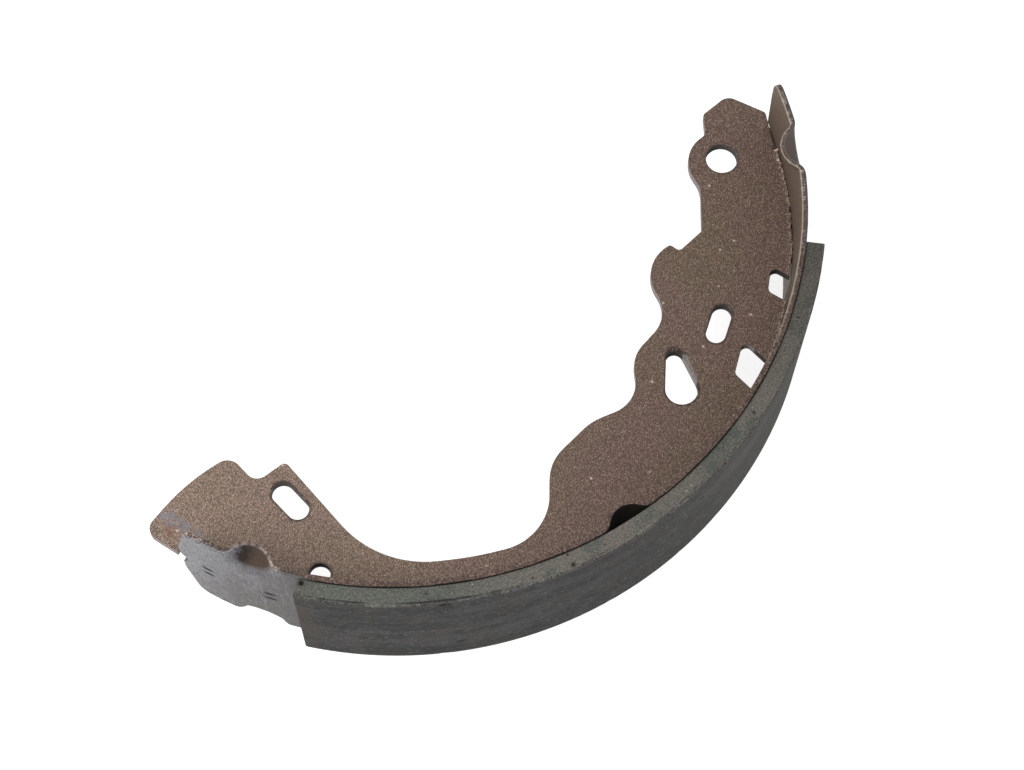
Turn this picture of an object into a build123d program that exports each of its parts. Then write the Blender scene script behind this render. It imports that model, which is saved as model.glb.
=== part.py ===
from build123d import *

import os
from math import atan2, cos, degrees, radians, sin, sqrt, tan

# Bonded drum brake shoe: a web stamped from plate, welded on edge inside a bent table, with a
# moulded lining bonded outside it. Every piece is drawn about the drum's axis, halfway across the
# shoe: +X runs to the middle of the lining, +Z along the axis, and angles are degrees about +Z
# from +X, so the anchor end is at negative angles and the wheel cylinder end at positive ones.
# The finished shoe then moves, so that its origin is in the middle of the lining's rubbing face.
# All lengths are millimetres.

# Lining
drum_radius = 110.0          # rubbing face
lining_thickness = 4.7
lining_width = 45.0
lining_arc = 95.0            # degrees, centred on +X
lining_edge_break = 0.4

# Table: the curved strip that carries the lining
table_thickness = 1.6
table_width = 46.2
table_anchor_end = -65.8     # degrees
table_cylinder_end = 72.9    # degrees
end_bend_start = 49.6        # degrees either way, just past the lining: from here the strip bends in
end_bend_radius = 97.0
end_notch_side_gap = 0.3     # either side of the web, in the notch at each end

# How each end of the table is trimmed, either side of the notch
trim_corner_radius = 5.0
trim_lobe_radius = 12.0
trim_notch_mouth_radius = 0.8
trim_notch_floor_radius = 0.4
anchor_trim = {
    "lobe": 15.1,            # from the long edge to the furthest point of each lobe
    "corner_drop": 3.3,      # how far back the end has run by the time it meets the long edge
    "mouth_drop": 0.1,       # how far back it has run where it meets the notch
    "mouth_flare": 1.3,      # of the notch's mouth, either side of its floor
    "notch_depth": 1.8,
}
cylinder_trim = {
    "lobe": 7.1,
    "corner_drop": 0.0,
    "mouth_drop": 0.8,
    "mouth_flare": 0.1,
    "notch_depth": 3.0,
}

# Crimps: each long edge of the table is pressed in near both ends and in the middle, by a
# round-nosed punch whose axis is radial and level with the edge
end_crimp_angles = (-54.4, 62.1)
end_crimp_depth = 4.3
middle_crimp_angle = -1.9
middle_crimp_depth = 3.6
crimp_nose_radius = 5.6
crimp_lip_radius = 3.6       # where the sheet turns over into the crimp
crimp_lip_height = 0.12      # of the top of that curve above the sheet, so that it ends cleanly
crimp_wall = 1.2             # left after the stretching

# Web: the flat plate
web_thickness = 3.2
web_edge_gap = 0.35          # from the web's outer edge to the table, between the weld toes
last_toe_to_straight = 3.0   # degrees past the last toe, where the outer edge runs on straight

# Weld toes: short tabs on the web's outer edge, fused to the table
toe_angles = (-61.5, -52.2, -43.0, -34.0, -25.0, -16.0, -7.5, 1.2, 10.0, 19.0, 38.5, 51.0, 59.0, 67.2)
toe_length = 3.6
witness_mark_width = 0.6     # the grooves that each weld leaves on the table's outer face
witness_mark_depth = 0.35
witness_mark_offset = 0.35   # from the plane of the web's face to the middle of the groove

# Inner outline of the web, from the wheel cylinder end to the anchor end. Each corner is given
# by its angle, its depth in from the table's inner face, and the radius that rounds it.
web_corners = (
    (74.1, 0.05, 1.5),       # outer corner of the cylinder end
    (78.9, 7.7, 3.5),        # nose that the wheel cylinder's piston pushes
    (77.3, 16.0, 1.2),
    (73.4, 17.8, 1.8),
    (71.4, 26.9, 9.0),       # boss round the lever pivot
    (63.2, 23.1, 8.8),
    (54.2, 24.0, 0.8),       # strut seat: step and hook
    (49.7, 29.7, 1.2),
    (50.9, 32.3, 0.9),
    (45.3, 40.2, 10.0),      # boss beside the strut seat
    (35.3, 28.6, 9.4),
    (23.8, 32.9, 9.3),       # boss beside the keyhole
    (16.4, 24.4, 9.0),
    (7.2, 29.8, 15.0),       # shoulder of the wide half
    (-4.4, 27.4, 12.0),
    (-10.7, 9.6, 15.0),      # into the narrow waist
    (-22.4, 10.6, 92.0),
    (-37.5, 10.0, 28.0),     # out of the waist
    (-58.4, 32.4, 1.4),      # anchor spring spur
    (-61.7, 24.1, 3.3),
    (-68.6, 27.1, 4.0),      # top of the anchor end
    (-71.9, 14.9, 55.0),     # face that rests on the anchor
    (-72.1, -1.4, 3.0),      # anchor tip
)
shoulder_angle = -66.5       # degrees, where the anchor tip steps out past the table's end
shoulder_rise = 1.1          # of the tip's outer edge above the table's inner face

# Holes in the web: angle and depth of the middle, then sizes
pivot_hole_angle = 68.2
pivot_hole_depth = 15.7
pivot_hole_diameter = 8.4

strut_slot_angle = 36.6
strut_slot_depth = 15.9
strut_slot_length = 11.0
strut_slot_width = 5.2
strut_slot_tilt = 90.0       # degrees from the radius through it

keyhole_angle = 22.9
keyhole_depth = 17.4
keyhole_large_radius = 4.25
keyhole_small_radius = 2.25
keyhole_spacing = 8.3
keyhole_tilt = 133.0         # degrees from the radius, from the large end to the small one

anchor_slot_angle = -54.4
anchor_slot_depth = 23.1
anchor_slot_length = 11.5
anchor_slot_width = 5.8
anchor_slot_tilt = 62.4

spring_hole_angle = -46.2
spring_hole_depth = 6.6
spring_hole_diameter = 5.4

# Windows: cut in from the web's outer edge, so that the table bridges them
upper_window = {
    "angle": 45.9,
    "depth": 5.5,            # of the middle of the inner wall, from the table's inner face
    "width": 7.3,            # of the inner wall
    "shift": 0.7,            # of its middle, towards the wheel cylinder end
    "tilt": 0.0,             # degrees that it turns from the tangent
}
lower_window = {
    "angle": 31.5,
    "depth": 8.1,
    "width": 9.9,
    "shift": 1.5,
    "tilt": 8.0,
}
window_skew = 22.5           # degrees that the side walls lean towards the anchor end
window_corner_radius = 1.6

# Derived sizes
table_outer_radius = drum_radius - lining_thickness
table_inner_radius = table_outer_radius - table_thickness
end_notch_width = web_thickness + 2 * end_notch_side_gap
beyond_tips = 12.0           # degrees past either end of the table, clear of the web's tips


def on_radius(angle, radius):
    """The point at this angle and radius from the drum's axis."""
    return (radius * cos(radians(angle)), radius * sin(radians(angle)))


def in_from_table(angle, depth):
    """The point this deep inside the table's inner face."""
    return on_radius(angle, table_inner_radius - depth)


def swept_to(angle):
    """Degrees of bend, about its own centre, from its start to this angle along the strip."""
    return (abs(angle) - end_bend_start) * table_outer_radius / end_bend_radius


def on_bend(side, inset, swept):
    """A point on the bent end, this far inside the outer face and this many degrees into the bend."""
    centre_x, centre_y = on_radius(side * end_bend_start, table_outer_radius - end_bend_radius)
    along_x, along_y = on_radius(side * (end_bend_start + swept), end_bend_radius - inset)
    return (centre_x + along_x, centre_y + along_y)


def on_strip(angle, inset):
    """A place at this depth inside the strip's outer face, with its +X square to the strip."""
    side = 1 if angle > 0 else -1
    if abs(angle) < end_bend_start:
        return Location((*on_radius(angle, table_outer_radius - inset), 0), (0, 0, angle))
    swept = swept_to(angle)
    return Location((*on_bend(side, inset, swept), 0), (0, 0, side * (end_bend_start + swept)))


def strip_line(inset, overrun=0.0):
    """The strip's curve at this depth inside its outer face, and the points where it ends."""
    anchor_sweep = swept_to(table_anchor_end) + overrun
    cylinder_sweep = swept_to(table_cylinder_end) + overrun
    anchor_centre = on_radius(-end_bend_start, table_outer_radius - end_bend_radius)
    cylinder_centre = on_radius(end_bend_start, table_outer_radius - end_bend_radius)
    bent_radius = end_bend_radius - inset
    CenterArc(anchor_centre, bent_radius, -end_bend_start - anchor_sweep, anchor_sweep)
    CenterArc((0, 0), table_outer_radius - inset, -end_bend_start, 2 * end_bend_start)
    CenterArc(cylinder_centre, bent_radius, end_bend_start, cylinder_sweep)
    return on_bend(-1, inset, anchor_sweep), on_bend(1, inset, cylinder_sweep)


def inside_strip(inset):
    """Everything between the drum's axis and the strip's curve at this depth."""
    with BuildSketch() as region:
        with BuildLine():
            anchor_point, cylinder_point = strip_line(inset, overrun=2.0)
            Polyline(anchor_point, (0, 0), cylinder_point)
        make_face()
    return region.sketch


def turned(angle, depth, tilt=0.0):
    """A place this deep inside the table's inner face, turned from the radius by the tilt."""
    return Location((*in_from_table(angle, depth), 0), (0, 0, angle + tilt))


def window(size):
    """A four-sided cut through the web's outer edge, with its two inner corners rounded."""
    lean = tan(radians(window_skew))
    wall = table_inner_radius - size["depth"]
    slope = size["width"] / 2 * tan(radians(size["tilt"]))
    upper = (wall - slope, size["shift"] + size["width"] / 2)
    lower = (wall + slope, size["shift"] - size["width"] / 2)
    upper_mouth = (table_outer_radius, upper[1] - lean * (table_outer_radius - upper[0]))
    lower_mouth = (table_outer_radius, lower[1] - lean * (table_outer_radius - lower[0]))
    with BuildSketch(Plane.XY.rotated((0, 0, size["angle"]))) as cut:
        with BuildLine():
            FilletPolyline(upper_mouth, upper, lower, lower_mouth, radius=window_corner_radius)
            Line(lower_mouth, upper_mouth)
        make_face()
    return cut.sketch


# Keyhole: a round hole that runs into a smaller one
with BuildSketch() as keyhole:
    with Locations(turned(keyhole_angle, keyhole_depth, keyhole_tilt)):
        Circle(keyhole_large_radius)
        with Locations((keyhole_spacing, 0)):
            Circle(keyhole_small_radius)
    make_hull()

def end_waste(end_angle, trim):
    """What the trimming die takes off one end of the strip."""
    side = 1 if end_angle > 0 else -1
    edge = table_width / 2
    back = trim["corner_drop"] + 2 * trim_corner_radius
    upper = [
        (edge, -trim["corner_drop"]),
        (edge - trim["lobe"], 0),
        (end_notch_width / 2 + trim["mouth_flare"], -trim["mouth_drop"]),
        (end_notch_width / 2, -trim["notch_depth"]),
    ]
    lower = [(-across, along) for across, along in reversed(upper)]
    radii = [trim_corner_radius, trim_lobe_radius, trim_notch_mouth_radius, trim_notch_floor_radius]
    die_face = Plane(on_radius(end_angle, table_outer_radius), x_dir=(0, 0, 1), z_dir=on_radius(end_angle, 1))
    with BuildPart() as waste:
        with BuildSketch(die_face):
            with BuildLine():
                cut = FilletPolyline((edge, -back), *upper, *lower, (-edge, -back), radius=radii + radii[::-1])
                Polyline(
                    cut @ 1,
                    (-table_width, -back),
                    (-table_width, back),
                    (table_width, back),
                    (table_width, -back),
                    cut @ 0,
                )
                if side > 0:
                    mirror(about=Plane.XZ, mode=Mode.REPLACE)
            make_face()
        extrude(amount=3 * table_thickness, both=True)
    return waste.part


# Lining: one moulded block, square-ended, with its edges just broken
with BuildPart() as lining:
    with BuildSketch():
        with BuildLine():
            rubbing_face = CenterArc((0, 0), drum_radius, -lining_arc / 2, lining_arc)
            bonded_face = CenterArc((0, 0), table_outer_radius, -lining_arc / 2, lining_arc)
            Line(rubbing_face @ 0, bonded_face @ 0)
            Line(rubbing_face @ 1, bonded_face @ 1)
        make_face()
    extrude(amount=lining_width / 2, both=True)
    outer_face = lining.faces().filter_by(GeomType.CYLINDER).sort_by(SortBy.AREA)[-1]
    fillet(outer_face.edges(), radius=lining_edge_break)
lining.part.label = "lining"

# Table: bent strip with trimmed ends, its edges pressed in by a ball-nosed punch
def crimp_punch(depth, wall):
    """The punch grown by this much sheet. Its axis is +X and its bare tip is at the origin."""
    lip_x = depth + crimp_lip_height - crimp_lip_radius
    lip_y = sqrt((crimp_nose_radius + crimp_lip_radius) ** 2 - (crimp_nose_radius - lip_x) ** 2)
    meeting = degrees(atan2(lip_y, lip_x - crimp_nose_radius))
    top = depth + 2 * crimp_lip_radius
    with BuildPart() as punch:
        with BuildSketch(Plane.XZ):
            with BuildLine():
                nose = CenterArc((crimp_nose_radius, 0), crimp_nose_radius + wall, meeting, 180 - meeting)
                lip = CenterArc((lip_x, lip_y), crimp_lip_radius - wall, meeting - 180, 180 - meeting)
                Polyline(lip @ 1, (top, lip_y), (top, 0), nose @ 1)
            make_face()
        revolve(axis=Axis.X)
    return punch.part


def crimps(wall):
    """All the punches, or the bulges that they raise where a wall is given."""
    places = [(angle, end_crimp_depth) for angle in end_crimp_angles]
    places.append((middle_crimp_angle, middle_crimp_depth))
    with BuildPart() as punches:
        for angle, depth in places:
            tip = on_radius(angle, table_outer_radius - depth)
            with Locations(Location((*tip, table_width / 2), (0, 0, angle))):
                add(crimp_punch(depth, wall))
        mirror(about=Plane.XY)
    return punches.part


with BuildPart() as strip_room:
    with BuildSketch():
        add(inside_strip(0))
    extrude(amount=table_width / 2, both=True)

with BuildPart() as crimp_bulges:
    add(crimps(crimp_wall))
    add(strip_room.part, mode=Mode.INTERSECT)

with BuildPart() as table:
    with BuildSketch():
        with BuildLine():
            outer_ends = strip_line(0, overrun=1.0)
            inner_ends = strip_line(table_thickness, overrun=1.0)
            Line(outer_ends[0], inner_ends[0])
            Line(outer_ends[1], inner_ends[1])
        make_face()
    extrude(amount=table_width / 2, both=True)
    add(end_waste(table_anchor_end, anchor_trim), mode=Mode.SUBTRACT)
    add(end_waste(table_cylinder_end, cylinder_trim), mode=Mode.SUBTRACT)
    add(crimp_bulges.part)
    add(crimps(0), mode=Mode.SUBTRACT)
    for toe_angle in toe_angles:
        if abs(toe_angle) > lining_arc / 2:
            for side in (-1, 1):
                with Locations(on_strip(toe_angle, 0)):
                    with Locations((0, 0, side * (web_thickness / 2 + witness_mark_offset))):
                        Box(2 * witness_mark_depth, toe_length, witness_mark_width, mode=Mode.SUBTRACT)
table.part.label = "table"

# Web: one flat plate
straight_run_start = on_bend(1, table_thickness + web_edge_gap, swept_to(toe_angles[-1] + last_toe_to_straight))
run_start_angle = degrees(atan2(straight_run_start[1], straight_run_start[0]))

with BuildSketch() as web_limits:
    for toe_angle in toe_angles:
        with Locations(on_strip(toe_angle, table_thickness)):
            Rectangle(4 * web_edge_gap, toe_length)
    add(inside_strip(table_thickness), mode=Mode.INTERSECT)
    add(inside_strip(table_thickness + web_edge_gap))
    for tip_start, tip_end in (
        (shoulder_angle, table_anchor_end - beyond_tips),
        (run_start_angle, table_cylinder_end + beyond_tips),
    ):
        with BuildLine():
            Polyline((0, 0), on_radius(tip_start, drum_radius), on_radius(tip_end, drum_radius), close=True)
        make_face()

with BuildPart() as web:
    with BuildSketch() as outline:
        with BuildLine():
            corner_points = [in_from_table(angle, depth) for angle, depth, rounding in web_corners]
            corner_radii = [rounding for angle, depth, rounding in web_corners]
            shoulder_point = in_from_table(shoulder_angle, -shoulder_rise)
            FilletPolyline(straight_run_start, *corner_points, shoulder_point, radius=corner_radii)
            Polyline(
                shoulder_point,
                on_radius(shoulder_angle, drum_radius),
                (2 * drum_radius, 0),
                on_radius(run_start_angle, drum_radius),
                straight_run_start,
            )
        make_face()
        add(web_limits.sketch, mode=Mode.INTERSECT)
        add(window(upper_window), mode=Mode.SUBTRACT)
        add(window(lower_window), mode=Mode.SUBTRACT)
        with Locations(turned(pivot_hole_angle, pivot_hole_depth)):
            Circle(pivot_hole_diameter / 2, mode=Mode.SUBTRACT)
        with Locations(turned(spring_hole_angle, spring_hole_depth)):
            Circle(spring_hole_diameter / 2, mode=Mode.SUBTRACT)
        with Locations(turned(strut_slot_angle, strut_slot_depth, strut_slot_tilt)):
            SlotOverall(strut_slot_length, strut_slot_width, mode=Mode.SUBTRACT)
        with Locations(turned(anchor_slot_angle, anchor_slot_depth, anchor_slot_tilt)):
            SlotOverall(anchor_slot_length, anchor_slot_width, mode=Mode.SUBTRACT)
        add(keyhole.sketch, mode=Mode.SUBTRACT)
    extrude(amount=web_thickness / 2, both=True)
web.part.label = "web"

to_rubbing_face = Location((-drum_radius, 0, 0))
lining.part.move(to_rubbing_face)
table.part.move(to_rubbing_face)
web.part.move(to_rubbing_face)

os.makedirs("parts", exist_ok=True)
export_step(lining.part, "parts/lining.step")
export_step(table.part, "parts/table.step")
export_step(web.part, "parts/web.step")
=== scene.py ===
import math

import bmesh
import bpy
import numpy as np
from mathutils import Matrix, Vector


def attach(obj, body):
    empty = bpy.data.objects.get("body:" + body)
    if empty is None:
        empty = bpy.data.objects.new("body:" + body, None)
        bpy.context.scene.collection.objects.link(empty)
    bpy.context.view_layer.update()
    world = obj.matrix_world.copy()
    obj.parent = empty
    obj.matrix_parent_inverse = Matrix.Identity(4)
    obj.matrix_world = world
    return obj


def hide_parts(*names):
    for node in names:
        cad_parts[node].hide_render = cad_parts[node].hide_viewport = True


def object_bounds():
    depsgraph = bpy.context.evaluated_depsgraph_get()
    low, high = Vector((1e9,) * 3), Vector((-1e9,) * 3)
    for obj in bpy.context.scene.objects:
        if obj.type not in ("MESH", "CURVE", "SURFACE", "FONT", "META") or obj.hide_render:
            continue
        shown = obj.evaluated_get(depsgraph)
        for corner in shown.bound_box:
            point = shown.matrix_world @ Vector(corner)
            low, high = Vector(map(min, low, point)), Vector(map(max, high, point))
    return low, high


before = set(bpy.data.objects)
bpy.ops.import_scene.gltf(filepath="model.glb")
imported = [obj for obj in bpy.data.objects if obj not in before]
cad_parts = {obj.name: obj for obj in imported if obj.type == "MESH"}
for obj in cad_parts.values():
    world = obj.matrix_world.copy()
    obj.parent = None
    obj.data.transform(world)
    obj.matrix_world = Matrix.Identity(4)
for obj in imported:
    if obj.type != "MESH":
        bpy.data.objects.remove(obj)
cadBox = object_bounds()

print("stage: frame loaded")

mm = 0.001
drumRadius = 110.0            # mm; the drum's axis is parallel to Z through x = -drumRadius
liningInner = 105.3           # mm from that axis, the lining's bonded face and the table's outer one
tableInner = 103.7            # mm, the table's inner face
tableHalfWidth = 23.1         # mm
webHalfThickness = 1.6        # mm
bendStart = 49.6              # degrees either way, where the table's tighter bends begin
bendRadius = 97.0             # mm, of the table's outer face in those bends
nibPlace = (68.2, 102.6)      # degrees and mm from the axis, where a curl of weld metal stands


def onRadius(angle, radius):
    return radius * math.cos(math.radians(angle)), radius * math.sin(math.radians(angle))


# Shader maths

class Wire:
    # One output of a node tree. Python's operators on it add Math nodes.
    def __init__(self, paint, link):
        self.paint = paint
        self.link = link

    def math(self, operation, *others):
        inputs = dict(enumerate((self, *others)))
        return self.paint.add("ShaderNodeMath", {"operation": operation}, inputs)["Value"]

    def __add__(self, other):
        return self.math("ADD", other)

    def __sub__(self, other):
        return self.math("SUBTRACT", other)

    def __mul__(self, other):
        return self.math("MULTIPLY", other)

    def __truediv__(self, other):
        return self.math("DIVIDE", other)

    def __neg__(self):
        return self.math("MULTIPLY", -1.0)

    def __rsub__(self, other):
        return -self + other

    def __rtruediv__(self, other):
        return self.math("POWER", -1.0) * other

    __radd__ = __add__
    __rmul__ = __mul__

    def abs(self):
        return self.math("ABSOLUTE")

    def least(self, other):
        return self.math("MINIMUM", other)

    def most(self, other):
        return self.math("MAXIMUM", other)

    def hypot(self, other):
        return (self * self + other * other).math("SQRT")

    def step(self, low, high):
        # Nought below low, one above high and a smooth rise between them
        return self.paint.add(
            "ShaderNodeMapRange",
            {"interpolation_type": "SMOOTHSTEP"},
            {"Value": self, "From Min": low, "From Max": high},
        )["Result"]

    def fall(self, low, high):
        return 1 - self.step(low, high)

    def band(self, low, lowEnd, highStart, high):
        # A smooth rise from low to lowEnd and a smooth fall from highStart to high
        return self.step(low, lowEnd) * self.fall(highStart, high)

    def about(self, middle, reach, end):
        # One within this reach of the middle and nought from the end outwards
        return (self - middle).abs().fall(reach, end)


class Paint:
    # The nodes of a material or a world. add() makes any node: its type, its settings, then the
    # values or wires of its inputs. It gives the outputs by name or identifier.
    def __init__(self, owner):
        owner.use_nodes = True
        self.owner = owner
        self.tree = owner.node_tree
        self.tree.nodes.clear()

    def add(self, kind, settings=None, inputs=None):
        node = self.tree.nodes.new(kind)
        for key, value in (settings or {}).items():
            setattr(node, key, value)
        for key, value in (inputs or {}).items():
            named = [s for s in node.inputs if s.identifier == key]
            socket = named[0] if named else node.inputs[key]
            if isinstance(value, Wire):
                self.tree.links.new(value.link, socket)
            else:
                socket.default_value = value
        outputs = {s.name: Wire(self, s) for s in node.outputs}
        outputs.update({s.identifier: Wire(self, s) for s in node.outputs})
        return outputs


class Finish(Paint):
    # The material of a piece, which knows where each point is: in mm from the drum's axis, and
    # in degrees about it
    def __init__(self, name):
        super().__init__(bpy.data.materials.new(name))
        place = self.add("ShaderNodeTexCoord")["Object"]
        self.place = self.vector("SCALE", {0: place, "Scale": 1 / mm})
        parts = self.add("ShaderNodeSeparateXYZ", {}, {"Vector": self.place})
        self.x, self.y, self.z = parts["X"] + drumRadius, parts["Y"], parts["Z"]
        self.radius = self.x.hypot(self.y)
        self.angle = self.y.math("ARCTAN2", self.x) * math.degrees(1)

    def vector(self, operation, inputs):
        return self.add("ShaderNodeVectorMath", {"operation": operation}, inputs)["Vector"]

    def combine(self, x, y, z):
        return self.add("ShaderNodeCombineXYZ", {}, {"X": x, "Y": y, "Z": z})["Vector"]

    def own(self, name):
        # A number that the piece's mesh carries at each vertex
        return self.add("ShaderNodeAttribute", {"attribute_name": name})["Fac"]

    def rgba(self, colour):
        return colour if isinstance(colour, Wire) else (*colour, 1.0)

    def layers(self, colour, *coats):
        # Each coat is how much of it shows and its colour, from the lowest coat up
        for share, coat in coats:
            inputs = {"Factor_Float": share, "A_Color": self.rgba(colour), "B_Color": self.rgba(coat)}
            colour = self.add("ShaderNodeMix", {"data_type": "RGBA"}, inputs)["Result_Color"]
        return colour

    def noise(self, size, detail=2.0, roughness=0.5, place=None, seed=0.0):
        # Soft noise whose blobs are about this many mm across
        inputs = {
            "Vector": place or self.place,
            "W": seed,
            "Scale": 1 / size,
            "Detail": detail,
            "Roughness": roughness,
        }
        return self.add("ShaderNodeTexNoise", {"noise_dimensions": "4D"}, inputs)["Fac"]

    def specks(self, size, place=None):
        # Cells about this many mm across: the distance from each cell's middle, and its own number
        inputs = {"Vector": place or self.place, "Scale": 1 / size}
        cells = self.add("ShaderNodeTexVoronoi", {}, inputs)
        number = self.add("ShaderNodeSeparateColor", {}, {"Color": cells["Color"]})["Red"]
        return cells["Distance"], number

    def dots(self, size, small, large, rarity, place=None):
        # Round dots in the cells whose number is over the rarity. Small and large are where a dot
        # starts to fade and where it ends, as shares of a cell.
        away, number = self.specks(size, place)
        return away.fall(small, large) * number.step(rarity, rarity + 0.02)

    def near(self, centre, reach, soft):
        # One within this reach, in mm, of a line along Z through the centre
        off = (self.x - centre[0]).hypot(self.y - centre[1])
        return off.fall(reach - soft, reach + soft)

    def between(self, first, last, reach, soft, more=0.0):
        # The same about a straight stretch between two points, where the reach has grown by this
        # much more at the last one
        x, y = first
        runX, runY = last[0] - x, last[1] - y
        share = ((self.x - x) * runX + (self.y - y) * runY) / (runX ** 2 + runY ** 2)
        share = share.most(0.0).least(1.0)
        off = (self.x - x - share * runX).hypot(self.y - y - share * runY)
        return (off - share * more).fall(reach - soft, reach + soft)

    def inStrip(self):
        # How far, in mm, a point is inside the strip's inner face, which bends tighter at its ends
        x, y = onRadius(bendStart, liningInner - bendRadius)
        bent = (self.x - x).hypot(self.y.abs() - y)
        ends = self.angle.abs().step(bendStart - 0.1, bendStart + 0.1)
        straight = tableInner - self.radius
        return straight + ends * (tableInner - liningInner + bendRadius - bent - straight)

    def finish(self, colour, roughness, height, depth, metallic=0.0, glance=0.3):
        # The height is 0 to 1 and the depth, in mm, is what 1 stands for
        bump = self.add("ShaderNodeBump", {}, {"Height": height, "Distance": depth * mm, "Strength": 1.0})
        inputs = {
            "Base Color": colour,
            "Roughness": roughness,
            "Metallic": metallic,
            "Specular IOR Level": glance,
            "Normal": bump["Normal"],
        }
        surface = self.add("ShaderNodeBsdfPrincipled", {}, inputs)["BSDF"]
        self.add("ShaderNodeOutputMaterial", {}, {"Surface": surface})
        return self.owner


# Camera, floor and light

shot = {
    "place": (0.1342, -0.1411, 0.6078),
    "right": (0.5906, 0.8070, 0.0),
    "forward": (-0.2931, 0.2145, -0.9317),
    "roll": 0.01772,
    "lens": 88.875,
    "sensor": 36.0,
}

studio = {
    "floorSize": 6.0,
    "floorColour": (0.55, 0.55, 0.55),
    "floorGlow": 0.82,            # what the camera sees on top of the floor's own light
    "worldStrength": 0.62,
    "keyPlace": (-0.12, -0.27, 0.36),
    "keyAim": (-0.05, -0.05, 0.0),
    "keySize": 0.30,
    "keyPower": 1.15,
    "fillPlace": (0.55, -0.35, 0.45),
    "fillAim": (0, 0, 0),
    "fillSize": 0.9,
    "fillPower": 0.9,
}


def addObject(name, data):
    thing = bpy.data.objects.new(name, data)
    bpy.context.collection.objects.link(thing)
    return thing


def makeCamera(look):
    camera = addObject("camera", bpy.data.cameras.new("camera"))
    forward = Vector(look["forward"]).normalized()
    right = Vector(look["right"]).normalized()
    up = right.cross(forward)
    turn = Matrix.Rotation(look["roll"], 3, forward).inverted()
    axes = Matrix((turn @ right, turn @ up, -forward)).transposed()
    camera.matrix_world = Matrix.Translation(look["place"]) @ axes.to_4x4()
    camera.data.lens = look["lens"]
    camera.data.sensor_width = look["sensor"]
    camera.data.clip_start = 0.01
    bpy.context.scene.camera = camera


def makeLamp(look, name):
    lamp = addObject(name, bpy.data.lights.new(name, "AREA"))
    lamp.data.size = look[name + "Size"]
    lamp.data.energy = look[name + "Power"]
    lamp.location = look[name + "Place"]
    aim = Vector(look[name + "Aim"]) - lamp.location
    lamp.rotation_euler = aim.to_track_quat("-Z", "Y").to_euler()


def makeFloor(look):
    half = look["floorSize"] / 2
    height = cadBox[0][2]
    mesh = bpy.data.meshes.new("floor")
    corners = [(-half, -half, height), (half, -half, height), (half, half, height), (-half, half, height)]
    mesh.from_pydata(corners, [], [(0, 1, 2, 3)])
    paint = Paint(bpy.data.materials.new("floor_card"))
    own = paint.add("ShaderNodeBsdfDiffuse", {}, {"Color": (*look["floorColour"], 1.0)})["BSDF"]
    seen = paint.add("ShaderNodeLightPath")
    share = seen["Is Camera Ray"].most(seen["Is Glossy Ray"]).most(seen["Is Transmission Ray"])
    glow = paint.add("ShaderNodeEmission", {}, {"Strength": share * look["floorGlow"]})["Emission"]
    both = paint.add("ShaderNodeAddShader", {}, {0: own, 1: glow})["Shader"]
    paint.add("ShaderNodeOutputMaterial", {}, {"Surface": both})
    mesh.materials.append(paint.owner)
    addObject("floor", mesh)


def makeWorld(look):
    # Its own light on the shoe, and white for what the camera sees past the floor
    world = bpy.data.worlds.new("studio")
    bpy.context.scene.world = world
    paint = Paint(world)
    seen = paint.add("ShaderNodeLightPath")["Is Camera Ray"]
    plain, white = (
        paint.add("ShaderNodeBackground", {}, {"Color": (1, 1, 1, 1), "Strength": strength})["Background"]
        for strength in (look["worldStrength"], 1.0)
    )
    choose = paint.add("ShaderNodeMixShader", {}, {0: seen, 1: plain, 2: white})["Shader"]
    paint.add("ShaderNodeOutputWorld", {}, {"Surface": choose})


makeCamera(shot)
makeWorld(studio)
makeFloor(studio)
makeLamp(studio, "key")
makeLamp(studio, "fill")
bpy.context.scene.view_settings.view_transform = "Standard"
print("stage: camera, floor and light")


# Finishes

primer = {
    "deep": (0.038, 0.025, 0.020),
    "warm": (0.270, 0.177, 0.141),
    "olive": (0.258, 0.184, 0.128),
    # Painted light: the web's colour is made paler towards the anchor end, where the key light falls
    "paintedLight": (0.54, 0.395, 0.305),
    "fleck": (0.68, 0.53, 0.43),
    "edge": (0.27, 0.265, 0.285),
    # The holes' colour: painted shade in and round the holes, in the gaps by the strip and under the nib, and
    # dark specks by the keyhole's small end
    "hole": (0.026, 0.021, 0.019),
    # Painted highlight along the keyhole's flank
    "flankHighlight": (0.33, 0.31, 0.30),
    "rub": (0.20, 0.205, 0.235),
    "rust": (0.17, 0.070, 0.042),
    "pebble": 0.50,           # mm across one pebble of the paint, and across its finer grain
    "grain": 0.42,
    "rolled": (0.81, 0.59),   # cosine and sine of the way that the plate was rolled
    "narrow": 1.9,            # how much narrower the pebbles are across that way
    "bump": 0.15,             # mm from the gaps to the tops of the pebbles
    "rubRadius": 98.6,        # mm from the drum's axis, a rubbed line at the anchor end
    "rubAngle": -64.5,
    "rustPlace": (-68.6, 101.2),
    "keyholeSide": ((28.2, 82.8), (25.4, 88.4)),      # its flank with a painted highlight: angle, radius of both ends
    "burr": (27.8, 80.6),
    "holes": (                # angle and radius of both ends, both reaches in mm, painted shade in it and round it
        ((68.2, 88.0), (68.2, 88.1), 4.2, 4.2, 0.80, 0.35),
        ((34.7, 87.9), (38.5, 87.9), 2.6, 2.6, 0.85, 0.8),
        ((22.9, 86.35), (27.2, 80.95), 4.25, 2.25, 0.95, 0.9),
        ((-52.6, 82.0), (-56.2, 79.3), 2.9, 2.9, 0.55, 0.9),
        ((-46.2, 97.1), (-46.2, 97.2), 2.7, 2.7, 0.92, 0.6),
        ((45.9, 99.5), (45.9, 102.0), 4.0, 4.0, 0.92, 0.0),
        ((31.5, 99.5), (31.5, 102.0), 4.5, 4.5, 0.92, 0.0),
    ),
}


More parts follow.
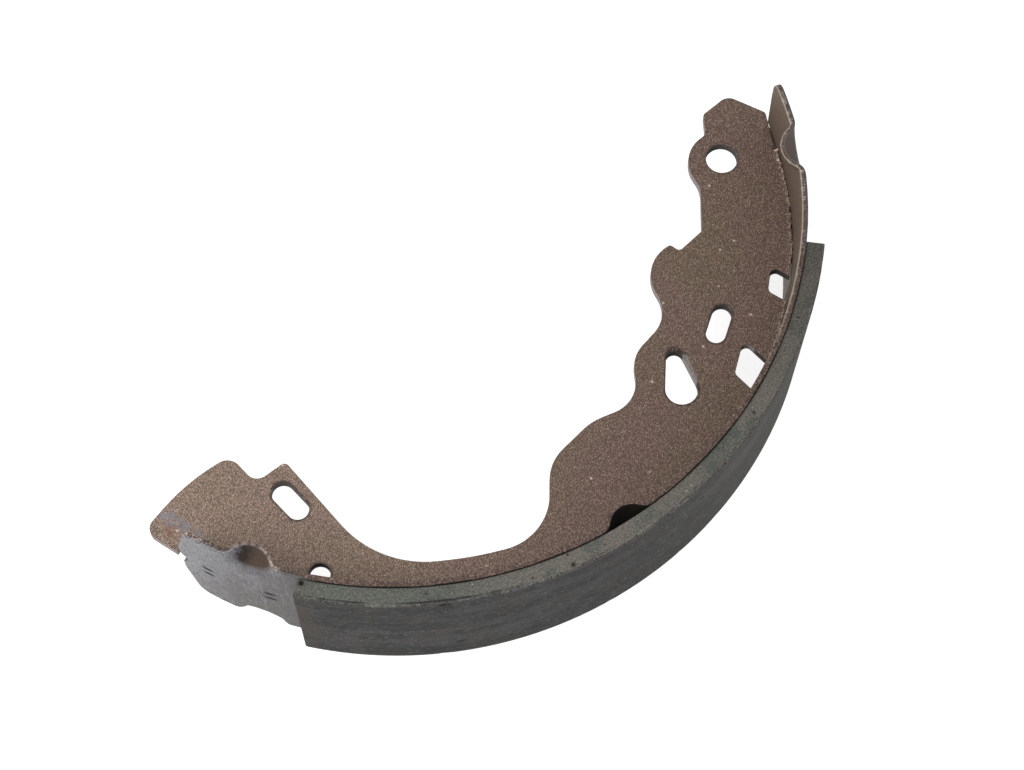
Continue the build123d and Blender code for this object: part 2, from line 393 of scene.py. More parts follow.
def makeWebPaint(look):
    # Baked paint on a rough plate: pebbles with dark gaps between them, and a pale top on some
    paint = Finish("web_primer")
    cosine, sine = look["rolled"]
    along = paint.x * cosine - paint.y * sine
    across = (paint.x * sine + paint.y * cosine) * look["narrow"]
    rolled = paint.combine(along, across, paint.z)
    away, number = paint.specks(look["pebble"], rolled)
    grain = paint.noise(look["grain"], detail=3.0, roughness=0.7, place=rolled)
    drift = paint.noise(22.0, seed=8.0)
    broken = paint.noise(1.6, detail=3.0, seed=6.0).step(0.36, 0.56)
    pale = number.step(0.30, 0.9) * away.fall(0.2, 0.6) * grain.step(0.46, 0.62)

    # Wear at the anchor end
    rub = paint.radius.about(look["rubRadius"], 0.5, 2.4)
    rub = rub * paint.angle.fall(look["rubAngle"] - 3, look["rubAngle"] + 2) * broken
    rust = paint.near(onRadius(*look["rustPlace"]), 1.5, 1.1) * paint.noise(0.9, seed=7.0).step(0.4, 0.6)

    # Chipped paint and painted shade in the gaps along the strip, and the weld's curl with a painted
    # highlight on it and a painted shadow under it
    inStrip = paint.inStrip()
    beside = paint.angle.band(-64, -63, 68.5, 69.5)
    seam = inStrip.fall(0.5, 1.9) * beside * paint.y.step(55, 62) * grain.step(0.44, 0.56)
    # Painted shade in the gaps where the web meets the strip
    seamShade = inStrip.fall(0.15, 0.75) * broken.fall(0.2, 0.5) * (beside * 0.5 + 0.4)
    nib = onRadius(*nibPlace)
    # A painted shadow under the nib and a painted highlight on its top
    nibShadow = paint.near(nib, 0.8, 0.6) * paint.z.fall(1.62, 1.68) * broken.most(0.5)
    nibHighlight = paint.near(nib, 2.0, 0.3) * paint.z.step(1.72, 1.85) * grain.step(0.30, 0.46)

    # The cut walls, which the punch has torn, a painted highlight on the keyhole's flank, and painted shade
    # in and round the holes
    wall = paint.z.abs().fall(webHalfThickness - 0.42, webHalfThickness - 0.12)
    flat = 1 - wall
    ripped = paint.noise(0.5, detail=3.0, place=paint.combine(paint.x, paint.y, paint.z * 0.25))
    cut = paint.layers(look["edge"], (ripped.step(0.38, 0.7), look["warm"]))
    keyholeSide = [onRadius(*end) for end in look["keyholeSide"]]
    # A painted highlight in a rough band along the keyhole's flank, whose wall gets no painted shade
    flank = paint.between(*keyholeSide, 0.6, 0.25)
    chips = paint.between(*keyholeSide, 1.1, 0.4, -0.6) * grain.step(0.34, 0.52)
    # Dark specks round the keyhole's small end
    keyholeEndDark = paint.near(onRadius(*look["burr"]), 2.8, 0.4) * number.step(0.15, 0.4)
    # Painted shade on the holes' walls, and in a ring round each hole's rim on the face
    holeShade = rimShade = 0.0
    for first, last, reach, lastReach, inIt, roundIt in look["holes"]:
        first, last, more = onRadius(*first), onRadius(*last), lastReach - reach
        holeShade = (paint.between(first, last, reach + 0.5, 0.3, more) * inIt).most(holeShade)
        rimShade = (paint.between(first, last, reach + 0.52, 0.26, more) * roundIt).most(rimShade)
    holeShade = holeShade * wall * (1 - flank)

    body = paint.layers(
        look["warm"],
        (drift.step(0.4, 0.6), look["olive"]),
        # Painted light, paler towards the anchor end
        (paint.y.fall(-92, 10) * 0.5, look["paintedLight"]),
        (away.step(0.2, 0.7) * 0.6, look["deep"]),
        (grain.fall(0.34, 0.54) * 0.65, look["deep"]),
        (pale * 0.72, look["fleck"]),
        (paint.dots(4.0, 0.06, 0.12, 0.72) * 0.8, look["fleck"]),
        (rub * 0.8, look["rub"]),
        (rust * 0.85, look["rust"]),
        (seam * number.step(0.45, 0.6) * 0.7, look["fleck"]),
        # Painted shade in the gaps by the strip, a painted shadow under the nib and a painted highlight on it
        (seamShade, look["hole"]),
        (nibShadow, look["hole"]),
        (nibHighlight, look["fleck"]),
        (wall, cut),
        # Dark specks round the keyhole's small end
        (keyholeEndDark * flat * 0.85, look["hole"]),
        # The painted highlight along the keyhole's flank
        (chips * flat * 0.75, look["flankHighlight"]),
        # Painted shade round the holes' rims, then on their walls
        (rimShade * flat * (1 - chips) * (broken * 0.5 + 0.4), look["hole"]),
        (holeShade, look["hole"]),
    )
    height = grain * 0.45 + (1 - away) * 0.55
    return paint.finish(body, 0.64 - grain * 0.2 + holeShade * 0.3, height, look["bump"], metallic=0.1)


strip = {
    "inner": (0.160, 0.116, 0.084),
    # Deep is dark grain, and also painted shade on the inner face by the web
    "deep": (0.030, 0.022, 0.018),
    "edge": (0.150, 0.098, 0.080),
    "fleck": (0.66, 0.58, 0.50),
    "bare": (0.205, 0.204, 0.220),
    "smear": (0.090, 0.080, 0.079),
    "shine": (0.36, 0.36, 0.38),
    "lip": (0.30, 0.24, 0.22),
    # Hollow, pocket and black colour the crimps' hollows, where the black is painted shade; black also fills
    # the weld grooves and the face under the lining
    "hollow": (0.074, 0.048, 0.035),
    "pocket": (0.172, 0.136, 0.120),
    "black": (0.008, 0.006, 0.005),
    "grain": 0.5,             # mm
    "bump": 0.13,
    "tipsFrom": 74,           # mm either way along Y, where the lining ends and the tips lie bare
}


def makeStripPaint(look):
    # Brown paint inside and on the cut edges, and smeared bare steel outside, at the two tips
    paint = Finish("table_primer")
    share = paint.own("share")        # of the way from the outer face to the inner one
    rim = paint.own("rim")            # mm from the nearest cut edge
    press = paint.own("press")        # mm that a crimp has pushed it in
    groove = paint.own("groove")      # one in the middle of a weld's groove
    grain = paint.noise(look["grain"], detail=3.0, roughness=0.65, seed=5.0)
    drift = paint.noise(7.0, detail=3.0, seed=1.0)
    spots = paint.noise(1.1, detail=3.0, roughness=0.6, seed=2.0)
    inner = paint.layers(
        look["inner"],
        (grain.fall(0.36, 0.56) * 0.3, look["deep"]),
        # Painted shade on the inner face, darker towards the web
        (paint.z.abs().fall(0, 9) * 0.3, look["deep"]),
        (drift.step(0.42, 0.62) * spots.step(0.4, 0.6) * 0.35, look["edge"]),
    )

    # The cut edges, rubbed at the tips and on the lips of the crimp at the anchor end
    byCrimp = paint.angle.about(-51.5, 0.6, 2.2)
    rubbed = (paint.y * 0.012 - 0.35 + drift).step(0.35, 0.75)
    rubbed = rubbed.most(paint.angle.fall(-62.5, -59)).most(byCrimp)
    lip = byCrimp.most(paint.angle.about(-54.6, 2.2, 3.4))
    calm = 1 - paint.y.band(0, 30, 78, 86) * 0.7
    often = rubbed * 0.36 + 0.10 + paint.angle.fall(-63.6, -61.6) * 0.5
    side = paint.layers(
        look["edge"],
        (grain.fall(0.40, 0.60) * 0.75, look["deep"]),
        (paint.angle.fall(-48.5, -46.5) * (1 - rubbed) * 0.75, look["deep"]),
        (lip * spots.step(0.34, 0.5) * 0.6, look["lip"]),
        (spots.step(0.46, 0.58) * grain.step(0.44, 0.58) * often * calm, look["fleck"]),
    )
    corner = rim.fall(0.2, 0.6) * share.step(0.45, 0.9)
    bright = grain.step(0.46, 0.60) * spots.step(0.42, 0.54) * (rubbed * 0.62 + 0.10) * calm
    line = rim.fall(0.1, 0.34) * share.step(0.70, 0.86) * paint.y.step(50, 66) * 0.42

    # The outer face: scored across, browner away from the tips, with painted shade in the crimps and dark
    # grooves
    scored = paint.combine(paint.radius * 3, paint.angle * 1.84, paint.z * 0.14)
    lines = paint.noise(0.6, detail=3.0, place=scored, seed=3.0)
    clouds = paint.noise(3.2, detail=4.0, roughness=0.7, seed=6.0)
    tips = paint.y.abs().step(look["tipsFrom"], look["tipsFrom"] + 4)
    toTip = (-paint.angle - 58) * 0.05
    browner = (drift * 0.5 + clouds * 1.6 - paint.z * 0.020 - toTip).step(0.55, 1.30)
    beside = paint.angle.step(-51, -48.3) * tips * spots.step(0.38, 0.54) * paint.y.fall(-60, 0)
    pocket = press.step(0.4, 1.6) * (paint.angle * -0.5 - 27.2 + spots).fall(1.1, 1.9)
    # In the crimps' hollows a dark brown with painted shade: black patches on the anchor crimp's left side
    # and black in the middle crimp, while the cylinder crimp's hollow is brown
    pocketShade = (spots * 0.6 - (paint.angle + 54.4) * 0.14).step(0.24, 0.54) * 0.85
    bottom = paint.layers(
        look["hollow"],
        (pocketShade.most(paint.angle.step(-40, -20) * 0.8), look["black"]),
        (paint.y.step(0, 60), look["pocket"]),
    )
    outer = paint.layers(
        look["bare"],
        (browner.most(paint.y.step(0, 60) * 0.7), look["smear"]),
        ((clouds + toTip * 0.5).step(0.48, 0.74) * 0.55, look["shine"]),
        (lines.step(0.50, 0.70) * 0.4, look["shine"]),
        (grain.fall(0.38, 0.54) * 0.8, look["smear"]),
        (spots.fall(0.34, 0.46) * 0.65, look["deep"]),
        (spots.step(0.58, 0.70) * grain.step(0.44, 0.56) * 0.5, look["shine"]),
        (beside * 0.7, look["smear"]),
        (pocket * 0.96, bottom),
        (groove * 0.97, look["black"]),
        (1 - tips, look["black"]),
    )

    reach = share - tips * 0.2 + drift.step(0.44, 0.62) * (1 - tips) * share.step(0.01, 0.04) * 0.14
    body = paint.layers(
        inner,
        (rim.fall(0.12, 0.32), side),
        ((corner * bright).most(line), look["fleck"]),
        (reach.fall(0.04, 0.24), outer),
    )
    roughness = 0.62 - grain * 0.16 + pocket.most(1 - tips) * 0.36
    return paint.finish(body, roughness, grain * 0.7 + lines * 0.3, look["bump"], metallic=0.1)


friction = {
    "side": (0.178, 0.162, 0.140),
    "face": (0.025, 0.0255, 0.0262),
    "smooth": (0.070, 0.0705, 0.0705),
    "olive": (0.102, 0.099, 0.087),
    "deep": (0.008, 0.008, 0.008),
    "pale": (0.24, 0.23, 0.22),
    "brown": (0.066, 0.055, 0.046),
    "green": (0.106, 0.118, 0.102),
    "fleck": (0.38, 0.37, 0.34),
    "grain": 0.5,             # mm
    "bump": 0.10,
    "roughness": 0.84,
    "pitShift": (50.0, 7.0, 3.0),     # so that pits and pale flecks don't fall together
}


def makeFrictionPaint(look):
    # Moulded compound: grainy, with pale fibres and dark pits, rubbed lengthwise on its face
    paint = Finish("friction_compound")
    along = paint.angle * math.radians(drumRadius)        # mm along the rubbing face
    lengthwise = paint.combine(paint.radius, along * 0.07, paint.z)
    fibreWay = paint.combine(paint.radius, along * 0.36, paint.z)
    lines = paint.noise(0.55, detail=3.0, place=lengthwise, seed=2.0)
    bands = paint.noise(5.0, detail=3.0, place=lengthwise, seed=12.0)
    fibres = paint.noise(0.6, place=fibreWay, seed=9.0)
    grain = paint.noise(look["grain"], detail=4.0, roughness=0.7, seed=4.0)
    blots = paint.noise(6.0, detail=4.0, roughness=0.6, seed=3.0)
    smoke = paint.noise(9.0, detail=3.0, seed=14.0)
    side = paint.layers(
        look["side"],
        (blots.step(0.45, 0.62).most(paint.angle.fall(-32, -10) * 0.75), look["green"]),
        (paint.y.step(-50, 40) * 0.16 + paint.y.step(40, 76) * 0.40, look["brown"]),
        (grain.fall(0.38, 0.58) * 0.52, look["deep"]),
        (grain.step(0.54, 0.66) * 0.35, look["pale"]),
    )
    sheen = paint.z.band(3, 11, 13, 18) * paint.angle.band(4, 16, 40, 47)
    face = paint.layers(
        look["face"],
        ((blots + bands - 0.5).step(0.32, 0.70), look["smooth"]),
        (smoke.step(0.44, 0.62) * 0.4, look["brown"]),
        (paint.angle.step(-8, 24) * 0.62, look["olive"]),
        (lines.step(0.50, 0.74) * 0.13, look["pale"]),
        (fibres.step(0.55, 0.65) * grain.step(0.44, 0.54) * 0.5, look["pale"]),
        (grain.fall(0.36, 0.56) * 0.6, look["deep"]),
        (sheen * (blots + lines).step(0.8, 1.1) * 0.22, look["pale"]),
    )

    # The face's finish ends unevenly by its edges, and the middle of the face always has it
    outer = (paint.radius + (blots + lines - 1) * 5.0).step(drumRadius - 1.3, drumRadius - 0.1)
    onFace = paint.radius.step(drumRadius - 0.8, drumRadius - 0.4)
    outer = outer.most(onFace * paint.z.abs().fall(20.2, 22.3))
    # A painted shade line along the edge between the top side and the face, on the anchor half
    edgeShade = (paint.radius + blots * 0.4).about(drumRadius - 0.6, 0.1, 0.4) * paint.angle.fall(-26, -18)
    hole = paint.dots(3.4, 0.07, 0.15, 0.80, paint.vector("ADD", {0: paint.place, 1: look["pitShift"]}))
    body = paint.layers(
        side,
        (outer, face),
        (blots.step(0.53, 0.62) * paint.angle.fall(-40, -15) * 0.35, look["brown"]),
        (paint.angle.fall(-47.2, -44.5) * blots.step(0.34, 0.5) * 0.7, look["brown"]),
        (paint.own("worn") * grain.step(0.40, 0.60) * 0.6, look["pale"]),
        # Painted shade along the edge between the top side and the face
        (edgeShade * paint.z.step(21.6, 22.2) * blots.step(0.35, 0.5) * 0.65, look["deep"]),
        # Painted shade in the pits
        (paint.own("pit") * 0.9, look["deep"]),
        (paint.dots(2.6, 0.06, 0.14, 0.74) * 0.5, look["fleck"]),
        (hole * 0.7, look["deep"]),
    )
    height = grain * 0.6 + lines * 0.25 - hole * 0.5
    return paint.finish(body, look["roughness"], height, look["bump"])


webPaint = makeWebPaint(primer)
stripPaint = makeStripPaint(strip)
frictionPaint = makeFrictionPaint(friction)
print("stage: finishes")


# Pieces

def gridMesh(name, points, material, **fields):
    # A closed tube of points, in mm: the first axis runs along it and the second one round it.
    # Each end ring lies flat in a point or a line, where the doubles are merged. Fields are
    # numbers to keep at each vertex for the material.
    stations, around = points.shape[:2]
    mesh = bpy.data.meshes.new(name)
    row = np.arange(stations - 1)[:, None] * around
    turn = np.arange(around)[None, :]
    after = (turn + 1) % around
    corners = np.stack([row + turn, row + after, row + around + after, row + around + turn], axis=-1)
    mesh.from_pydata(points.reshape(-1, 3) * mm, [], corners.reshape(-1, 4))
    for field, values in fields.items():
        kept = mesh.attributes.new(field, "FLOAT", "POINT")
        kept.data.foreach_set("value", np.ascontiguousarray(values, dtype=np.float32).ravel())
    skin = bmesh.new()
    skin.from_mesh(mesh)
    bmesh.ops.remove_doubles(skin, verts=skin.verts, dist=1e-7)
    bmesh.ops.recalc_face_normals(skin, faces=skin.faces)
    skin.to_mesh(mesh)
    skin.free()
    mesh.shade_smooth()
    mesh.materials.append(material)
    return mesh


def softNoise(where, period, seed):
    # A smooth random wave: a table of numbers, read at where / period with a cosine blend
    table = np.random.default_rng(seed).random(512)
    spot = where / period
    low = np.floor(spot).astype(int)
    share = (1 - np.cos((spot - low) * np.pi)) / 2
    return table[low % 512] * (1 - share) + table[(low + 1) % 512] * share


def roundOff(first, second, radius):
    # Two distances from two faces that meet. Where both are under the radius, the point moves in
    # to the circle of that radius which touches both faces.
    gapA, gapB = np.maximum(radius - first, 0), np.maximum(radius - second, 0)
    off = np.sqrt(gapA ** 2 + gapB ** 2)
    shrink = np.where(off > radius, radius / np.maximum(off, 1e-9), 1.0)
    inside = (first < radius) & (second < radius)
    return np.where(inside, radius - gapA * shrink, first), np.where(inside, radius - gapB * shrink, second)


def spread(total, steps):
    # Offsets from one end to the other: these steps from both ends, and the middle
    half = [s for s in steps if s < total / 2]
    return np.array(half + [total / 2] + [total - s for s in reversed(half)])


def sectionLoop(across, through):
    # Round a rectangle from its first corner: how deep in it each point is, and how far across
    thick, wide = through[-1], across[-1]
    across, through = across[:-1], through[:-1]
    depth = np.concatenate([0 * across, through, 0 * across + thick, thick - through])
    side = np.concatenate([across, 0 * through + wide, wide - across, 0 * through])
    return depth, side


def closedRun(run, shrink, around):
    # A run of stations with rings at both ends that close it: how far along each point of each
    # ring is, and the scale of each ring
    along = np.concatenate([0 * shrink + run[0], run, 0 * shrink + run[-1]])
    scale = np.concatenate([shrink, np.ones(len(run)), shrink[::-1]])
    return along[:, None] + np.zeros(around), scale[:, None]


def dent(first, second, reach):
    # A round pit: one in its middle and nought from its rim outwards
    return np.clip(1 - (first ** 2 + second ** 2) / reach ** 2, 0, 1)


block = {                     # the lining, in mm
    "arc": 47.5,              # degrees either side of +X
    "halfWidth": 22.5,
    "skin": 0.03,             # that the rubbing face is worn under its full radius
    "edge": 0.35,             # radius of the broken edges
    "chips": 1.1,             # how far the worst wear takes an edge back
    "innerEdge": 0.15,        # radius of the edges by the table
    "corner": 0.3,            # radius of the upright corners, and how much more in the worst wear
    "cornerChips": 0.5,
    "wearReach": 0.9,         # how far from an edge its wear shows
    "rough": 0.05,
    "stations": 440,
    "pitFade": 2.0,           # depth under a face at which its pits have gone
    "facePits": (             # angle, z, reach, how deep
        (-28.3, 21.4, 1.0, 0.5),
        (-26.3, -12.7, 1.2, 0.3),
        (-20.8, 3.7, 0.8, 0.3),
        (9.0, 12.0, 0.9, 0.25),
    ),
    "sidePits": (             # angle, radius, reach, how deep
        (-11.1, 108.7, 0.75, 0.9),
        (-46.8, 106.1, 0.8, 1.1),
        (-30.5, 107.0, 0.5, 0.4),
        (21.0, 107.6, 0.6, 0.4),
    ),
}


def makeLining(look):
    # The section is a rectangle carried along the arc: radius from the drum's axis against Z. Its
    # ends close in rings that shrink to the middle. Edges are rounded by how far each point is
    # from the faces beside it, by a radius that wanders along the edge, and pits push points in.
    thick, wide = drumRadius - liningInner, 2 * look["halfWidth"]
    close = [0, 0.12, 0.25, 0.4, 0.55, 0.75, 1.0, 1.3, 1.6, 2.0]
    depth, side = sectionLoop(spread(wide, close + list(np.arange(2.8, wide / 2, 0.8))), spread(thick, close))
    length = math.radians(2 * look["arc"]) * drumRadius
    ends = np.array([s for s in close if s <= 1.3])
    run = np.concatenate([ends, np.linspace(1.7, length - 1.7, look["stations"]), length - ends[::-1]])
    shrink = np.array([0.0, 0.25, 0.5, 0.7, 0.82, 0.9, 0.94, 0.97, 0.985, 0.994])
    along, scale = closedRun(run, shrink, len(depth))
    deep = thick / 2 + (depth - thick / 2) * scale
    sideways = wide / 2 + (side - wide / 2) * scale
    lowerHalf, startHalf, outerHalf = sideways < wide / 2, along < length / 2, deep < thick / 2
    toSide = np.where(lowerHalf, sideways, wide - sideways)
    toEnd = np.where(startHalf, along, length - along)
    toFace = np.minimum(deep, thick - deep)

    # The lower edge wears like the upper one, but less and some way further along
    wear = softNoise(along, 2.3, 11) * softNoise(along, 0.9, 12) + 0.5 * softNoise(along, 11.0, 13)
    wear = np.where(lowerHalf, np.roll(wear, 41, axis=0) * 0.7, wear)
    wear = np.maximum(wear - 0.5, 0)
    byFace = np.clip(1 - toFace / look["wearReach"], 0, 1) * outerHalf
    bySide = np.clip(1 - toSide / look["wearReach"], 0, 1)
    worn = np.clip(byFace * bySide * (0.35 + 3 * wear), 0, 1)
    edge = look["edge"] + look["chips"] * wear
    toFace, toSide = roundOff(toFace, toSide, np.where(outerHalf, edge, look["innerEdge"]))
    toEnd, toSide = roundOff(toEnd, toSide, look["corner"] + look["cornerChips"] * wear)
    toEnd, toFace = roundOff(toEnd, toFace, look["edge"])
    sideways = np.where(lowerHalf, toSide, wide - toSide)
    along = np.where(startHalf, toEnd, length - toEnd)
    deep = np.where(outerHalf, toFace, thick - toFace)

    fade = look["pitFade"]
    fromMiddle = along - length / 2
    pit = np.zeros_like(along)
    for angle, z, reach, hollow in look["facePits"]:
        off = fromMiddle - math.radians(angle) * drumRadius
        share = dent(off * 0.6, sideways - wide / 2 - z, reach) * np.clip(1 - deep / fade, 0, 1)
        deep = deep + share * hollow
        pit = np.maximum(pit, share)
    for angle, radius, reach, hollow in look["sidePits"]:
        off = fromMiddle - math.radians(angle) * drumRadius
        share = dent(off, drumRadius - deep - radius, reach)
        share = share * np.clip((sideways - wide + fade) / fade, 0, 1)
        sideways = sideways - share * hollow
        pit = np.maximum(pit, share)
    rough = (softNoise(along, 0.8, 21) - 0.5) * (softNoise(sideways + deep, 0.8, 22) - 0.5)
    deep = deep + np.maximum(look["rough"] * rough, 0) * outerHalf
    turn = along / drumRadius - math.radians(look["arc"])
    radius = drumRadius - deep - look["skin"] * (1 - deep / thick)
    x, y = radius * np.cos(turn) - drumRadius, radius * np.sin(turn)
    points = np.stack([x, y, sideways - wide / 2], axis=-1)
    mesh = gridMesh("lining_block", points, frictionPaint, worn=worn, pit=pit)
    return addObject("lining_block", mesh)


bar = {                       # the table, a bent strip that the lining is bonded to, in mm
    "thick": 1.6,
    "edge": 0.26,             # radius of its broken edges, and how much more where they are worn
    "worn": 0.2,
    "anchorEnd": -120.9,      # along the outer face, from the middle of the shoe
    "cylinderEnd": 133.9,
    "ripple": 0.15,
    "rippleFrom": 89,         # along the outer face either way, past the lining
    "stations": 400,
    "trimFade": 16,           # how far from an end its trim moves points
    "endTrims": {             # |z| and how far back the end runs, then the radius at that corner
        "anchor": ((1.9, 1.8, 0.4), (3.2, 0.1, 0.8), (8.0, 0.0, 12.0), (23.1, 3.3, 5.0)),
        "cylinder": ((1.9, 3.0, 0.3), (2.0, 0.8, 0.05), (16.0, 0.0, 12.0), (23.1, 0.0, 5.0)),
    },
    "crimps": {               # pressed into both long edges: places along the outer face, and depths
        "places": ((-100.0, 4.3), (-3.5, 3.6), (114.1, 4.3)),
        "nose": 5.6,
        "lip": 3.6,
        "wall": 1.2,          # of the sheet where it is pressed, which makes it thinner
    },
    "welds": {                # the grooves that they leave outside, in pairs
        "angles": (-61.5, -52.2, 51.0, 59.0, 67.2),
        "length": 3.6,
        "taper": 0.9,         # at each end of a groove
        "width": 0.85,
        "smudge": 2.5,        # across the dark that has run into each
        "depth": 0.34,
        "off": 1.95,          # from the middle of the table
    },
}


def roundedEdge(corners):
    # A line through the corners, each cut by a parabola that starts and ends where an arc of the
    # corner's radius would: sampled points, joined straight
    spots = np.array([(0.0, corners[0][1]), *[c[:2] for c in corners], (corners[-1][0], corners[-1][1] + 20)])
    path = [spots[0]]
    for index, corner in enumerate(corners, start=1):
        back = spots[index - 1] - spots[index]
        on = spots[index + 1] - spots[index]
        backLong, onLong = np.hypot(*back), np.hypot(*on)
        back, on = back / backLong, on / onLong
        half = np.arccos(np.clip(back @ on, -1, 1)) / 2
        reach = min(corner[2] / np.tan(half), 0.49 * backLong, 0.9 * onLong) if half > 1e-6 else 0
        share = np.linspace(0, 1, 14)[:, None]
        path.extend(spots[index] + back * reach * (1 - share) ** 2 + on * reach * share ** 2)
    path = np.array(path)
    keep = np.concatenate([[True], np.diff(np.maximum.accumulate(path[:, 0])) > 1e-9])
    return path[keep]


def pressDepth(along, across, look, wall):
    # How far a punch has pushed a face in. Across the punch the face is an arc of the nose's
    # radius that runs into an arc of the lip's radius, which ends level with the strip. The inner
    # face is a wall away from the punch, so its nose is larger by that and its lip smaller.
    both = look["nose"] + look["lip"]
    nose, lip = look["nose"] + wall, look["lip"] - wall
    total = np.zeros_like(along)
    for place, depth in look["places"]:
        away = np.hypot(along - place, np.abs(across) - tableHalfWidth)
        reach = np.sqrt(both ** 2 - (both - depth) ** 2)
        inNose = depth + wall - nose + np.sqrt(np.maximum(nose ** 2 - away ** 2, 0))
        inLip = look["lip"] - np.sqrt(np.maximum(lip ** 2 - (reach - away) ** 2, 0))
        pushed = np.where(away < reach * nose / both, inNose, np.where(away < reach, inLip, 0))
        total = np.maximum(total, pushed)
    return total


def onStrip(along, deep, across):
    # The strip's path is an arc about the drum's axis that runs on into a tighter arc at each
    # end. A point is on the path at its distance along, and this deep inside it.
    start = math.radians(bendStart)
    straight = start * liningInner
    side = np.sign(along)
    past = np.maximum(np.abs(along) - straight, 0) / bendRadius
    turn = np.minimum(np.abs(along), straight) / liningInner + past
    bent = np.where(past > 0, bendRadius, liningInner)
    shift = liningInner - bent
    x = shift * math.cos(start) + (bent - deep) * np.cos(turn)
    y = side * (shift * math.sin(start) + (bent - deep) * np.sin(turn))
    return np.stack([x - drumRadius, y, across], axis=-1)


def makeTable(look):
    # The section is a thin rectangle, depth against Z, carried along the bent path. Its two ends
    # are trimmed by how far back they run at each Z, the crimps are added to the depth, and the
    # edges are rounded by each point's distance from the faces beside it.
    thick, wide = look["thick"], 2 * tableHalfWidth
    low, high = look["anchorEnd"], look["cylinderEnd"]
    crimps, welds, trims = look["crimps"], look["welds"], look["endTrims"]
    corner = np.array([0, 0.06, 0.14, 0.26, 0.45])
    crimped = np.arange(0.8, 8.8, 0.62)
    plain = np.arange(10.0, 19.0, 2.0)
    grooved = wide / 2 - np.array([3.4, 2.8, 2.5, 2.3, 2.15, 1.95, 1.9, 1.75, 1.6, 1.4, 0.8])
    through = np.array([0, 0.06, 0.14, 0.26, 0.5, 0.8, 1.1, 1.34, 1.46, 1.54, thick])
    depth, side = sectionLoop(spread(wide, [*corner, *crimped, *plain, *grooved]), through)
    middle = np.linspace(low + 0.8, high - 0.8, look["stations"])
    run = np.concatenate([low + corner, middle, high - corner[::-1]])
    along, scale = closedRun(run, np.array([0.0, 0.3, 0.6, 0.8, 0.9, 0.96]), len(depth))
    deep = thick / 2 + (depth - thick / 2) * scale
    across = (side - wide / 2) * (1 - (1 - scale) * thick / wide)
    outer = deep < thick / 2
    toFace = np.minimum(deep, thick - deep)
    toSide = wide / 2 - np.abs(across)
    toEnd = np.minimum(along - low, high - along)
    share, rim = deep / thick, np.minimum(toSide, toEnd)
    anchorBack = np.interp(np.abs(across), *roundedEdge(trims["anchor"]).T)
    cylinderBack = np.interp(np.abs(across), *roundedEdge(trims["cylinder"]).T)

    edge = look["edge"] + look["worn"] * softNoise(along, 3.0, 33) * softNoise(along, 0.8, 34)
    toFace, toSide = roundOff(toFace, toSide, edge)
    toEnd, toFace = roundOff(toEnd, toFace, look["edge"])
    deep = np.where(outer, toFace, thick - toFace)
    across = np.sign(across) * (wide / 2 - toSide)
    along = np.where(along < (low + high) / 2, low + toEnd, high - toEnd)
    nearLow = np.clip(1 - (along - low) / look["trimFade"], 0, 1)
    nearHigh = np.clip(1 - (high - along) / look["trimFade"], 0, 1)
    along = along + anchorBack * nearLow - cylinderBack * nearHigh

    press = pressDepth(along, across, crimps, 0.0)
    pressIn = np.maximum(pressDepth(along, across, crimps, crimps["wall"]), thick)
    toWeld = np.min([np.abs(along - math.radians(angle) * liningInner) for angle in welds["angles"]], axis=0)
    offWeld = np.abs(np.abs(across) - welds["off"])
    lengthwise = np.clip((welds["length"] / 2 - toWeld) / welds["taper"], 0, 1)
    mark = lengthwise * np.clip(2 - 4 * offWeld / welds["width"], 0, 1)
    groove = lengthwise * np.clip(2 - 4 * offWeld / welds["smudge"], 0, 1)
    ripple = np.maximum(softNoise(along, 5.0, 31) * softNoise(across, 6.0, 32) - 0.4, 0)
    ripple = look["ripple"] * ripple * np.clip((np.abs(along) - look["rippleFrom"]) / 4, 0, 1)
    sunk = press + mark * welds["depth"] + ripple
    deep = deep + sunk * (1 - share) + (pressIn - thick) * share
    points = onStrip(along, deep, across)
    mesh = gridMesh("table_strip", points, stripPaint, share=share, rim=rim, press=press, groove=groove)
    return addObject("table_strip", mesh)


plate = {                     # the web, and the metal squeezed out of its welds to the table
    "bevel": 0.22,            # mm
    "bevelSegments": 2,
    "bevelFrom": 38,          # degrees between two faces
    "sharpFrom": 32,
    "toes": (-61.5, -52.2, -43, -34, -25, -16, -7.5, 1.2, 10, 19, 38.5),
    "toeReach": 1.1,          # degrees either side of a toe
    "seams": ((49.9, 52.8), (55.3, 57.5), (59.3, 68.4)),
    "bead": 0.40,             # mm, the radius of the thickest bead
    "beadSides": 12,
    "beadStep": 0.28,         # mm between its rings
    "beadGap": 0.03,          # mm off the strip, which keeps the two pieces apart
    "beadSunk": 0.08,         # mm of each bead's middle inside the web
    "nibBend": 1.15,          # mm, the radius that the loose nib curls round
    "nibSize": 0.34,
    "nibRings": 22,
    "nibLift": 0.15,          # mm from the web's face to its middle
}


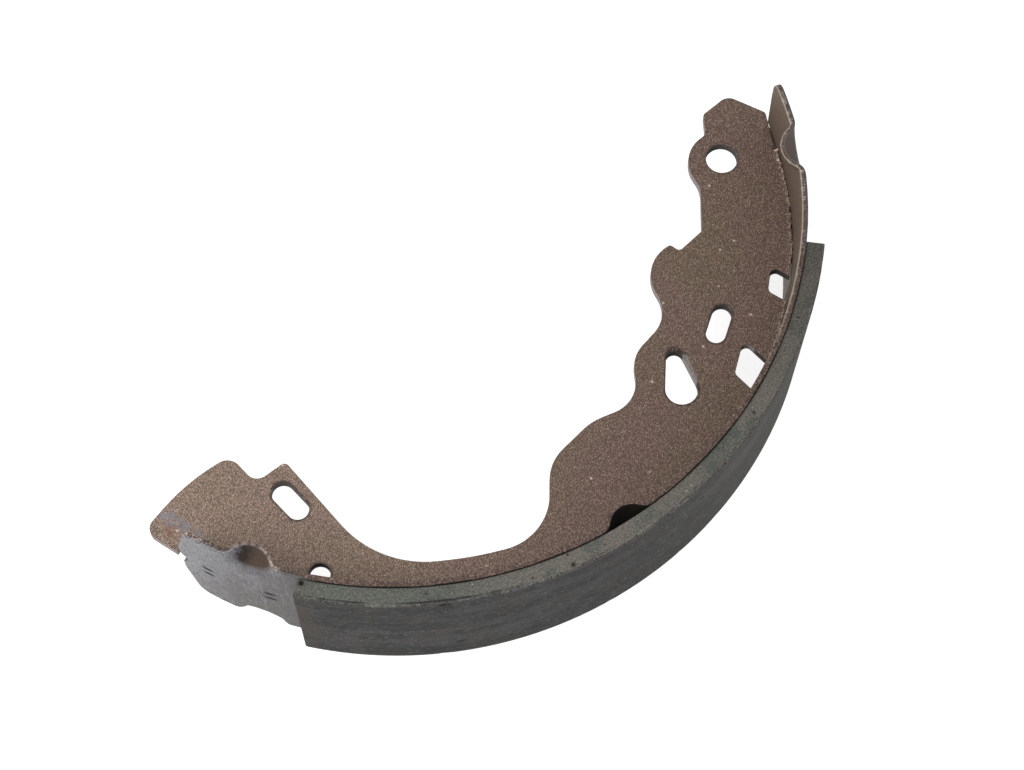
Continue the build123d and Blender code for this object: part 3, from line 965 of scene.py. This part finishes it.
def makeFlash(look):
    # Lumpy beads in the corner between the web and the strip: each is a tube along the strip's
    # inner face whose radius swells and fades, and its ends close at points. The loose nib is a
    # tube along an arc.
    grids = []
    turn = np.linspace(0, 2 * np.pi, look["beadSides"], endpoint=False)[None, :]
    runs = [(toe - look["toeReach"], toe + look["toeReach"]) for toe in look["toes"]]
    for start, stop in [*runs, *look["seams"]]:
        low, high = math.radians(start) * liningInner, math.radians(stop) * liningInner
        share = np.linspace(-1, 1, int((high - low) / look["beadStep"]) + 5)[:, None]
        along = (low + high) / 2 + share * (high - low) / 2
        lumps = softNoise(along, 0.85, 51) * 0.75 + softNoise(along, 2.6, 52) * 0.45
        size = look["bead"] * (0.25 + lumps) * (1 - share ** 6)
        deep = bar["thick"] + look["beadGap"] + size * (1 + np.cos(turn))
        for side in (1, -1):
            across = side * (webHalfThickness - look["beadSunk"] + size * 0.8 * np.sin(turn))
            grids.append(onStrip(along + 0 * deep, deep, across))
    x, y = onRadius(*nibPlace)
    share = np.linspace(-1, 1, look["nibRings"])[:, None]
    sweep = 0.5 + 1.4 * share
    size = look["nibSize"] * (1 - share ** 4)
    out = look["nibBend"] + size * np.cos(turn)
    lift = webHalfThickness + look["nibLift"] + size * np.sin(turn)
    grids.append(np.stack([x - drumRadius + out * np.cos(sweep), y + out * np.sin(sweep), lift], axis=-1))
    return [gridMesh("flash", grid, webPaint) for grid in grids]


def makeWeb(look):
    # The CAD shape with its doubles merged and its flats made whole, the flash joined to it and
    # its edges just rounded
    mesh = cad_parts["web"].data.copy()
    skin = bmesh.new()
    skin.from_mesh(mesh)
    bmesh.ops.remove_doubles(skin, verts=skin.verts, dist=1e-6)
    bmesh.ops.dissolve_limit(skin, angle_limit=math.radians(0.5), verts=skin.verts, edges=skin.edges)
    for bead in makeFlash(look):
        skin.from_mesh(bead)
        bpy.data.meshes.remove(bead)
    skin.to_mesh(mesh)
    skin.free()
    mesh.shade_smooth()
    mesh.set_sharp_from_angle(angle=math.radians(look["sharpFrom"]))
    mesh.materials.clear()
    mesh.materials.append(webPaint)
    piece = addObject("web_plate", mesh)
    bevel = piece.modifiers.new("edges", "BEVEL")
    bevel.width = look["bevel"] * mm
    bevel.segments = look["bevelSegments"]
    bevel.limit_method = "ANGLE"
    bevel.angle_limit = math.radians(look["bevelFrom"])
    bevel.use_clamp_overlap = True
    bevel.harden_normals = True
    return piece


web = makeWeb(plate)
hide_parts("web")
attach(web, "root")
print("stage: web")

table = makeTable(bar)
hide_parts("table")
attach(table, "root")
print("stage: table")

lining = makeLining(block)
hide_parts("lining")
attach(lining, "root")
print("stage: lining")
